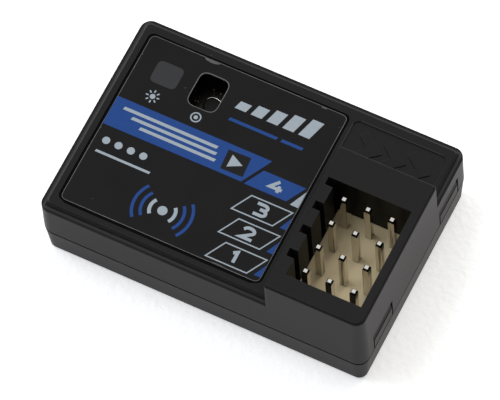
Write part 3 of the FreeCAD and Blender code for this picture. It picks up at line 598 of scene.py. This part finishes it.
def inset(outline, distance):
    """The same outline, counter-clockwise and convex, moved inward by a distance."""
    moved = []
    count = len(outline)
    for here in range(count):
        before, point, after = (Vector(outline[(here + k) % count]) for k in (-1, 0, 1))
        first = (point - before).normalized()
        second = (after - point).normalized()
        first_normal = Vector((-first.y, first.x))
        second_normal = Vector((-second.y, second.x))
        share = distance / (1 + first_normal.dot(second_normal))
        moved.append(tuple(point + (first_normal + second_normal) * share))
    return moved


def round_corners(outline, radius, steps=5):
    """Outline with each corner replaced by a short curve."""
    points = []
    count = len(outline)
    for here in range(count):
        before, point, after = (Vector(outline[(here + k) % count]) for k in (-1, 0, 1))
        start = point + (before - point).normalized() * radius
        end = point + (after - point).normalized() * radius
        for step in range(steps + 1):
            share = step / steps
            mixed = start * (1 - share) ** 2 + point * (2 * share * (1 - share)) + end * share ** 2
            points.append(tuple(mixed))
    return points


def ring(name, outer, inner, base, height, finish):
    """Closed band between two loops with the same number of points, from one height to another."""
    build = bmesh.new()
    loops = []
    for loop, z in ((outer, base), (outer, height), (inner, height), (inner, base)):
        loops.append([build.verts.new(Vector((x, y, z)) * MM) for x, y in loop])
    count = len(outer)
    for first, second in zip(loops, loops[1:] + loops[:1]):
        for here in range(count):
            there = (here + 1) % count
            build.faces.new((first[here], first[there], second[there], second[here]))
    return add_piece(name, build, finish)


def frame_plate(name, outline, width, finish):
    """Outline drawn as a line of ink of a given width."""
    return ring(name, outline, inset(outline, width), film_top, INK_TOP, finish)


print("ink is %.3f mm thick" % INK_HEIGHT)

# %% [markdown]
# ### Blue band and channel boxes
# A blue band runs in from the left edge and ends in a slant, with a black patch near its end. To its right
# the four channel boxes stand one under the other, in line with the rows of pins: a filled one at the top
# and three outlined ones.

# %% Band and boxes
BAND = [(-15.80, -0.90), (-0.74, -0.87), (1.04, 2.36), (-15.80, 2.38)]
BAND_PATCH = [(-3.23, -0.43), (-0.82, -0.39), (-0.96, 1.81), (-3.37, 1.73)]
OVERPRINT_HEIGHT = 0.006
plate("band", [BAND], "blue ink")
plate("band_patch", [round_corners(BAND_PATCH, 0.1)], "black ink", INK_TOP, OVERPRINT_HEIGHT)

BOX_LENGTH, BOX_HEIGHT, BOX_SLANT, FILLED_HEIGHT = 4.56, 2.2, 1.24, 2.06
BOX_LEFT, BOX_LINE = -0.41, 0.13
BOX_FEET = {4: -0.93, 3: -3.91, 2: -6.67, 1: -9.47}


def box_outline(foot, height=BOX_HEIGHT):
    """Slanted box of a channel, standing on its foot line."""
    slant = BOX_SLANT * height / BOX_HEIGHT
    return [
        (BOX_LEFT, foot),
        (BOX_LEFT + BOX_LENGTH, foot),
        (BOX_LEFT + BOX_LENGTH + slant, foot + height),
        (BOX_LEFT + slant, foot + height),
    ]


plate("box_4", [box_outline(BOX_FEET[4], FILLED_HEIGHT)], "blue ink")
for channel in (3, 2, 1):
    frame_plate("box_%d" % channel, box_outline(BOX_FEET[channel]), BOX_LINE, "pale ink")
print("boxes stand at", BOX_FEET)

# %% [markdown]
# ### Pointers at the right edge
# Small triangles between the boxes and the label's edge point at the rows of pins.

# %% Pointers
EDGE_X = film_high.x - 0.06
pointers = {
    "pointer_4": ((4.62, -1.09), 1.9, "pale ink"),
    "pointer_3": ((4.84, -3.72), 1.46, "blue ink"),
    "pointer_2": ((4.82, -6.56), 1.46, "blue ink"),
    "pointer_1": ((4.80, -9.26), 1.44, "blue ink"),
}
for name, ((x, y), rise, finish) in pointers.items():
    plate(name, [[(x, y), (EDGE_X, y), (EDGE_X, y + rise)]], finish)
print("pointers:", len(pointers))

# %% [markdown]
# ### Channel numbers
# The numbers are stout and wide, as on many labels. Each is a ribbon of even width along a line that we
# describe on a square of one by one, with arcs for the round parts. The ribbon's corners are mitred, so
# the width stays even round a bend. A second stroke lies a hair higher than the first, so that no two faces
# share a place.

# %% Ribbons of ink
def arc(x, y, across, along, start, end, steps=8):
    """Points of a part of an ellipse, between two angles in degrees."""
    angles = [math.radians(start + (end - start) * step / steps) for step in range(steps + 1)]
    return [(x + across * math.cos(angle), y + along * math.sin(angle)) for angle in angles]


def stroke_outline(path, width):
    """Outline of a stroke of even width along a path in millimetres."""
    points = [Vector(point) for point in path]
    sides = []
    for here, point in enumerate(points):
        before = (point - points[here - 1]).normalized() if here else None
        after = (points[here + 1] - point).normalized() if here + 1 < len(points) else None
        first, second = before or after, after or before
        aside = Vector((-first.y, first.x)) + Vector((-second.y, second.x))
        sides.append(aside * (width / 2) / (1 + first.dot(second)))
    outline = [tuple(p - s) for p, s in zip(points, sides)]
    outline += [tuple(p + s) for p, s in reversed(list(zip(points, sides)))]
    return outline


def ribbon(name, path, width, finish, base):
    """Flat stroke of even width along a path in millimetres."""
    return plate(name, [stroke_outline(path, width)], finish, base)


print("ribbons can be drawn")

# %% Figures
FIGURE_WIDTH, FIGURE_HEIGHT, STROKE = 1.22, 1.16, 0.34
FIGURES = {
    4: [[(0.62, 1.0), (0.0, 0.30), (1.05, 0.30)], [(0.74, 0.62), (0.74, -0.02)]],
    3: [
        [(0.0, 1.0), (0.62, 1.0)] + arc(0.66, 0.76, 0.30, 0.24, 80, -75) + [(0.40, 0.52)],
        [(0.40, 0.52), (0.62, 0.52)] + arc(0.68, 0.26, 0.32, 0.26, 75, -85) + [(0.0, 0.0)],
    ],
    2: [[(0.02, 0.74)] + arc(0.50, 0.72, 0.44, 0.28, 165, -35) + [(0.04, 0.0), (1.02, 0.0)]],
    1: [[(0.18, 0.80), (0.52, 1.0), (0.52, -0.02)]],
}


def draw_figure(channel, x, y, finish):
    """Channel number about a point of the label."""
    for stroke, path in enumerate(FIGURES[channel], start=1):
        placed = [(x + (u - 0.5) * FIGURE_WIDTH, y + (v - 0.5) * FIGURE_HEIGHT) for u, v in path]
        lift = INK_HEIGHT * (0.9 + 0.1 * stroke)
        ribbon("figure_%d_stroke_%d" % (channel, stroke), placed, STROKE, finish, film_top + lift)


FIGURE_PLACES = {4: (2.6, BOX_FEET[4] + FILLED_HEIGHT / 2)}
for channel in (3, 2, 1):
    FIGURE_PLACES[channel] = (2.38, BOX_FEET[channel] + BOX_HEIGHT / 2)
for channel, (x, y) in FIGURE_PLACES.items():
    draw_figure(channel, x, y, "pale ink")
print("figures at", FIGURE_PLACES)

# %% [markdown]
# ### Plain marks
# The rest of the label is ours to fill, so it holds plain marks of like size and colour: rising bars for the
# strength of a signal over a blue rule, racing stripes and an arrow on the band, a dot for each channel, and
# the waves of an aerial. A lamp's sign and a push button's sign stand below the two windows.

# %% Plain marks
LEAN, ARC_SPREAD, RULE_WIDTH = 0.3, 38, 0.34


def slanted_bar(x, y, length, height):
    """Bar whose ends lean to the right, from its lower left corner."""
    shift = LEAN * height
    return [(x, y), (x + length, y), (x + length + shift, y + height), (x + shift, y + height)]


def disc(x, y, radius, steps=20):
    """Filled circle as an outline."""
    return arc(x, y, radius, radius, 0, 360 - 360 / steps, steps - 1)


def waves(x, y, radii, width):
    """Arcs on both sides of a point."""
    return [
        stroke_outline(arc(x, y, radius, radius, middle - ARC_SPREAD, middle + ARC_SPREAD, 14), width)
        for radius in radii
        for middle in (0, 180)
    ]


print("marks can be drawn")

# %% Bars, rules and stripes
BARS_LEFT, BARS_FOOT, BARS_PITCH, BAR_LENGTH = -4.9, 6.05, 1.72, 1.2
BAR_HEIGHTS = [0.9 + 0.3 * step for step in range(5)]
bars = [
    slanted_bar(BARS_LEFT + BARS_PITCH * step, BARS_FOOT, BAR_LENGTH, height)
    for step, height in enumerate(BAR_HEIGHTS)
]
plate("signal_bars", bars, "pale ink")
rules = [slanted_bar(x, 4.6, length, RULE_WIDTH) for x, length in ((BARS_LEFT, 5.2), (0.75, 2.3))]
plate("blue_rule", rules, "blue ink")
STRIPES = ((-14.7, 1.28, 10.2), (-13.5, 0.60, 9.2), (-12.3, -0.08, 8.2))
stripes = [slanted_bar(x, y, length, RULE_WIDTH) for x, y, length in STRIPES]
plate("band_stripes", stripes, "pale ink", INK_TOP, OVERPRINT_HEIGHT)
BAND_ARROW, BAND_ARROW_HEIGHT = [(-2.75, -0.02), (-1.35, 0.69), (-2.75, 1.40)], 0.004
plate("band_arrow", [BAND_ARROW], "pale ink", INK_TOP + OVERPRINT_HEIGHT, BAND_ARROW_HEIGHT)
DOTS_LEFT, DOTS_LINE, DOTS_PITCH, DOT_RADIUS = -14.6, -2.45, 1.35, 0.4
dots = [disc(DOTS_LEFT + DOTS_PITCH * step, DOTS_LINE, DOT_RADIUS) for step in range(4)]
plate("channel_dots", dots, "pale ink")
plate("thin_rule", [slanted_bar(-15.1, -3.95, 5.9, 0.26)], "pale ink")
print("bars: %d, stripes: %d, dots: %d" % (len(bars), len(stripes), len(dots)))

# %% Signs
AERIAL, LAMP_SIGN, PUSH_SIGN = (-6.2, -6.9), (-12.7, 3.75), (-7.85, 3.5)
plate("aerial", [disc(*AERIAL, 0.5)] + waves(*AERIAL, (1.3,), 0.36), "pale ink")
plate("aerial_waves", waves(*AERIAL, (2.15, 3.0), 0.32), "blue ink")
RAYS, RAY_START, RAY_END, RAY_WIDTH = 8, 0.44, 0.72, 0.15
rays = []
for step in range(RAYS):
    angle = math.radians(360 / RAYS * step)
    ray = [
        (LAMP_SIGN[0] + reach * math.cos(angle), LAMP_SIGN[1] + reach * math.sin(angle))
        for reach in (RAY_START, RAY_END)
    ]
    rays.append(stroke_outline(ray, RAY_WIDTH))
plate("lamp_sign", [disc(*LAMP_SIGN, 0.28)] + rays, "pale ink")
ring("push_ring", disc(*PUSH_SIGN, 0.56), disc(*PUSH_SIGN, 0.42), film_top, INK_TOP, "pale ink")
plate("push_dot", [disc(*PUSH_SIGN, 0.22)], "pale ink")
print("rays:", len(rays))

# %% [markdown]
# ### Window of the lamp
# A grey window lets the lamp shine through the black print.

# %% Window
def box_loop(x, y, length, width, radius, steps=6):
    """Rounded rectangle about a point, counter-clockwise."""
    corners = [
        (x - length / 2, y - width / 2),
        (x + length / 2, y - width / 2),
        (x + length / 2, y + width / 2),
        (x - length / 2, y + width / 2),
    ]
    return round_corners(corners, radius, steps)


WINDOW_LENGTH, WINDOW_WIDTH, WINDOW_RADIUS = 2.8, 2.5, 0.6
OFF_LAMP_X, OFF_LAMP_Y = -0.05, 0.08
lamp_low, lamp_high = (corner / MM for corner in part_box("led"))
lamp_x, lamp_y = (lamp_low.x + lamp_high.x) / 2, (lamp_low.y + lamp_high.y) / 2
window_loop = box_loop(
    lamp_x + OFF_LAMP_X, lamp_y + OFF_LAMP_Y, WINDOW_LENGTH, WINDOW_WIDTH, WINDOW_RADIUS
)
plate("lamp_window", [window_loop], "grey window")
print("window over the lamp at %.2f, %.2f" % (lamp_x, lamp_y))

# %% [markdown]
# ### Pale edges of the film
# Two thin rings lie over the film's outer edge and round the hole for the switch. The hole's place is found
# on the film itself, from the points of its inner outline.

# %% The hole in the film
def beside_hole(point):
    """True for a point of the film that lies on the outline of the switch's hole."""
    return film_low.x + 4 < point.x < film_middle.x and 3 < point.y < film_high.y - 1


film_points = [vertex.co / MM for vertex in parts["label"].data.vertices]
hole_points = [point for point in film_points if beside_hole(point)]
hole_low = Vector((min(p.x for p in hole_points), min(p.y for p in hole_points)))
hole_high = Vector((max(p.x for p in hole_points), max(p.y for p in hole_points)))
hole_middle, hole_size = (hole_low + hole_high) / 2, hole_high - hole_low
film_size = film_high - film_low
print("hole %.2f by %.2f mm" % tuple(hole_size))

# %% Cut edges
EDGE_LINE, RIM_LINE, OVERHANG = 0.045, 0.07, 0.004
EDGE_DEPTH, LIFT = 0.15, 0.006
FILM_RADIUS, HOLE_RADIUS = 0.62, 0.88


def edge_ring(name, middle, size, radius, outward, inward):
    """Pale line along an edge of the film, reaching out and in from it."""
    loops = []
    for reach in (outward, -inward):
        loops.append(box_loop(middle.x, middle.y, size.x + 2 * reach, size.y + 2 * reach, radius + reach))
    return ring(name, *loops, film_top - EDGE_DEPTH, film_top + LIFT, "cut film")


# The rings' pale grey is partly a painted highlight.
edge_ring("film_edge", film_middle, film_size, FILM_RADIUS, OVERHANG, EDGE_LINE)
edge_ring("hole_edge", hole_middle, hole_size, HOLE_RADIUS, RIM_LINE, OVERHANG)
print("pale edges: 2")

# %% [markdown]
# ### Painted shadow round the film
# A black ring of painted shadow fills the gap between the film and the case. In front of the film a strip of
# painted shadow lies on the case, a flat plate that sinks a little into the case.

# %% Painted shadow
SHADOW_OUTSIDE, SHADOW_INSIDE = (0.25, 0.17), (0.005, 0.005)
SHADOW_FOOT, SHADOW_TOP = film_low.z - 0.01, film_high.z - 0.02


def film_loop(along, across):
    """Loop round the film, farther out by one reach in X and one in Y."""
    length, width = film_size.x + 2 * along, film_size.y + 2 * across
    return box_loop(film_middle.x, film_middle.y, length, width, FILM_RADIUS + across)


# Painted shadow ring in the gap round the film.
ring("painted_shadow_ring", film_loop(*SHADOW_OUTSIDE), film_loop(*SHADOW_INSIDE), SHADOW_FOOT, SHADOW_TOP, "painted shadow black")
STRIP_NEAR, STRIP_FAR, STRIP_NEAR_END, STRIP_FAR_END, STRIP_BASE = 0.16, 0.37, 0.25, 0.7, 8.99
shadow_strip = [
    (film_low.x + STRIP_FAR_END, film_low.y - STRIP_FAR),
    (film_high.x - STRIP_FAR_END, film_low.y - STRIP_FAR),
    (film_high.x - STRIP_NEAR_END, film_low.y - STRIP_NEAR),
    (film_low.x + STRIP_NEAR_END, film_low.y - STRIP_NEAR),
]
# Painted shadow strip on the case in front of the film.
plate("painted_shadow_strip", [shadow_strip], "painted shadow black", STRIP_BASE)
print("painted shadow from z %.2f to %.2f" % (SHADOW_FOOT, SHADOW_TOP))

# %% [markdown]
# ### Chipped print
# Where the film was cut and handled, small chips of the black are missing along its edge.

# %% Chips
def chip(name, x, y, length, depth, facing):
    """Half-moon on the film with its straight side on the film's edge, facing an angle in degrees."""
    cosine, sine = math.cos(math.radians(facing)), math.sin(math.radians(facing))
    half_moon = arc(0, 0, length / 2, depth, 180, 0, 10)
    outline = [(x + u * cosine - v * sine, y + u * sine + v * cosine) for u, v in half_moon]
    return plate(name, [outline], "chipped print", film_top, LIFT)


INWARD = 0.02
chips = {
    "chip_rear": (-9.15, film_high.y - INWARD, 1.75, 0.33, 180),
    "chip_rear_small": (3.02, film_high.y - INWARD, 0.75, 0.17, 180),
    "chip_left": (film_low.x + INWARD, 7.5, 0.24, 0.12, -90),
    "chip_left_small": (film_low.x + INWARD, -1.38, 0.3, 0.10, -90),
    "chip_front": (1.2, film_low.y + INWARD, 1.7, 0.12, 0),
}
for name, (x, y, length, depth, facing) in chips.items():
    chip(name, x, y, length, depth, facing)
print("chips:", len(chips))

# %% [markdown]
# ### Relief in the recess
# The recess behind the block carries three broad arrows, moulded with the shell and in the same black. They
# show only by their edges, as such a relief does.

# %% Relief
RELIEF_BASE, RELIEF_HEIGHT, ARROW_WIDTH = 8.84, 0.13, 1.0
ARROW_TIP, ARROW_FRONT, ARROW_MIDDLE, ARROW_REAR = 1.75, 6.05, 7.5, 8.95
arrow_outlines = []
for x in (7.75, 10.35, 12.95):
    path = [(x, ARROW_FRONT), (x + ARROW_TIP, ARROW_MIDDLE), (x, ARROW_REAR)]
    arrow_outlines.append(stroke_outline(path, ARROW_WIDTH))
plate(
    "relief_arrows", arrow_outlines, "upper shell plastic", RELIEF_BASE, RELIEF_HEIGHT
)
print("arrows in the recess:", len(arrow_outlines))

# %% [markdown]
# ### Glint on the rim of the button
# The moulded button has a sharp rim. A thin bow of polished steel lies on its rear part and stands in for the
# glint there, and it rides with the button.

# %% A bow
BOW_STEPS, BOW_CORNERS, END_SHARE = 24, 8, 0.45


def make_bow(middle, radius, thickness, first, last):
    """Bmesh of a thin round bow about an upright axis, between two angles in degrees, thinner at its ends."""
    build = bmesh.new()
    rows = []
    for step in range(BOW_STEPS + 1):
        angle = math.radians(first + (last - first) * step / BOW_STEPS)
        share = END_SHARE + (1 - END_SHARE) * math.sin(math.pi * step / BOW_STEPS)
        row = []
        for corner in range(BOW_CORNERS):
            tilt = 2 * math.pi * corner / BOW_CORNERS
            reach = radius + thickness * share / 2 * math.cos(tilt)
            rise = thickness * share / 2 * math.sin(tilt)
            offset = Vector((reach * math.cos(angle), reach * math.sin(angle), rise))
            row.append(build.verts.new((middle + offset) * MM))
        rows.append(row)
    for here, there in zip(rows, rows[1:]):
        for corner in range(BOW_CORNERS):
            other = (corner + 1) % BOW_CORNERS
            build.faces.new((here[corner], there[corner], there[other], here[other]))
    build.faces.new(rows[0])
    build.faces.new(rows[-1][::-1])
    return build


print("bows can be made")

# %% Button rim glint
RIM_RADIUS, RIM_THICKNESS, RIM_DROP = 0.88, 0.08, 0.1
RIM_FIRST, RIM_LAST = 48, 152
button_low, button_high = (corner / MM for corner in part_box("switch_button"))
rim_middle = (button_low + button_high) / 2
rim_middle.z = button_high.z - RIM_DROP
# A steel bow placed to make the glint on the rim's rear.
rim = add_piece(
    "button_rim_glint", make_bow(rim_middle, RIM_RADIUS, RIM_THICKNESS, RIM_FIRST, RIM_LAST),
    "polished steel", "button",
)
for face in rim.data.polygons:
    face.use_smooth = True
print("button at %.2f, %.2f" % tuple(rim_middle.xy))

# %% [markdown]
# ### Tabs on the switch's cover
# Narrow tabs stand up from the switch's cover, two at the rear and two at the left. Their pale grey is a
# painted glint, so down in the dark hole they show as short faint lines. They take the pale grey of the cut
# edge.

# %% Cover tabs
TAB_FEET = ((-8.30, 8.0), (-7.45, 7.88), (-9.40, 6.15), (-9.14, 6.18))
TAB_SIDE, TAB_HEIGHT = 0.1, 1.0
tab_outlines = [box_loop(x, y, TAB_SIDE, TAB_SIDE, 0.02, 2) for x, y in TAB_FEET]
cover_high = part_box("switch_cover")[1] / MM
# Pale grey tabs as painted glints.
plate("cover_tab_glints", tab_outlines, "cut film", cover_high.z - 0.01, TAB_HEIGHT)
print("cover tabs from z %.2f up" % cover_high.z)

# %% [markdown]
# ## Floor, light and world
# A wide floor of rough white paper carries the receiver. It is a little brighter for the camera and for
# reflections, and slightly rosy in reflections, so the background is near white, the black walls look a
# little warm and the shadow stays. The light is soft: a warm box behind and a cooler one at the left throw
# short shadows to the front and to the right, and a weak one hangs above. The world is a tent that is
# brightest to the rear left, and the top of the case stays dark.

# %% Floor
FLOOR_SIZE, FLOOR_GAP, FLOOR_GLOW = 6.0, 0.00002, 0.41
WHITE, ROSY = (1, 1, 1, 1), (1, 0.92, 0.94, 1)
floor_mesh = bpy.data.meshes.new("floor")
half = FLOOR_SIZE / 2
floor_mesh.from_pydata(
    [(-half, -half, 0), (half, -half, 0), (half, half, 0), (-half, half, 0)], [], [(0, 1, 2, 3)]
)
floor = bpy.data.objects.new("floor", floor_mesh)
bpy.context.scene.collection.objects.link(floor)
floor.location.z = cad_box[0].z - FLOOR_GAP
floor_material = bpy.data.materials.new("pale floor")
floor_material.use_nodes = True
floor_mesh.materials.append(floor_material)
tree = floor_material.node_tree
shader = tree.nodes["Principled BSDF"].inputs
place = add(tree, "TexCoord").outputs["Object"]
fibres = add(tree, "TexNoise", Vector=place, Scale=1400.0, Detail=3.0).outputs["Fac"]
fill(tree, shader["Base Color"], blend(tree, fibres, grey(0.91), grey(0.97)))
fill(tree, shader["Normal"], bump(tree, fibres, 0.0003, 0.5))
shader["Roughness"].default_value = 0.9
shader["Specular IOR Level"].default_value = 0.0
seen = add(tree, "LightPath").outputs
direct = maths(tree, "MAXIMUM", seen["Is Camera Ray"], seen["Is Glossy Ray"])
direct = maths(tree, "MAXIMUM", direct, seen["Is Transmission Ray"])
fill(tree, shader["Emission Strength"], maths(tree, "MULTIPLY", direct, FLOOR_GLOW))
fill(tree, shader["Emission Color"], blend(tree, seen["Is Glossy Ray"], WHITE, ROSY))
print("floor at z %.5f m" % floor.location.z)

# %% Lamps
def soft_box(name, place, size, power, colour=(1, 1, 1)):
    """Square area lamp that looks at the receiver."""
    lamp = bpy.data.lights.new(name, "AREA")
    lamp.shape = "SQUARE"
    lamp.size = size
    lamp.energy = power
    lamp.color = colour
    box = bpy.data.objects.new(name, lamp)
    bpy.context.scene.collection.objects.link(box)
    box.location = place
    box.rotation_mode = "QUATERNION"
    box.rotation_quaternion = Vector(place).to_track_quat("Z", "Y")
    return box


soft_box("rear_box", (0.2, 0.85, 1.08), 0.6, 3.6, (1, 0.965, 0.87))
soft_box("left_box", (-0.6, -0.1, 1.2), 0.6, 7.0, (0.88, 0.925, 1))
soft_box("top_box", (-0.1, 0.1, 1.3), 0.8, 0.2)
print("three soft boxes")

# %% World
BRIGHTEST_WAY = (-0.35, 0.55, 0.76)
TENT_RANGE, TENT_LIGHT = (-0.1, 0.95), (0.12, 0.95)
world = bpy.data.worlds.new("studio")
world.use_nodes = True
bpy.context.scene.world = world
tree = world.node_tree
heading = add(tree, "VectorMath", {"operation": "DOT_PRODUCT"})
tree.links.new(add(tree, "TexCoord").outputs["Generated"], heading.inputs[0])
heading.inputs[1].default_value = BRIGHTEST_WAY
tent = add(
    tree, "MapRange", Value=heading.outputs["Value"], From_Min=TENT_RANGE[0], From_Max=TENT_RANGE[1],
    To_Min=TENT_LIGHT[0], To_Max=TENT_LIGHT[1],
)
background = tree.nodes["Background"].inputs
fill(tree, background["Strength"], tent.outputs["Result"])
fill(tree, background["Color"], WHITE)
bpy.context.scene.view_settings.view_transform = "Standard"
print("a tent of light from %.2f to %.2f" % TENT_LIGHT)
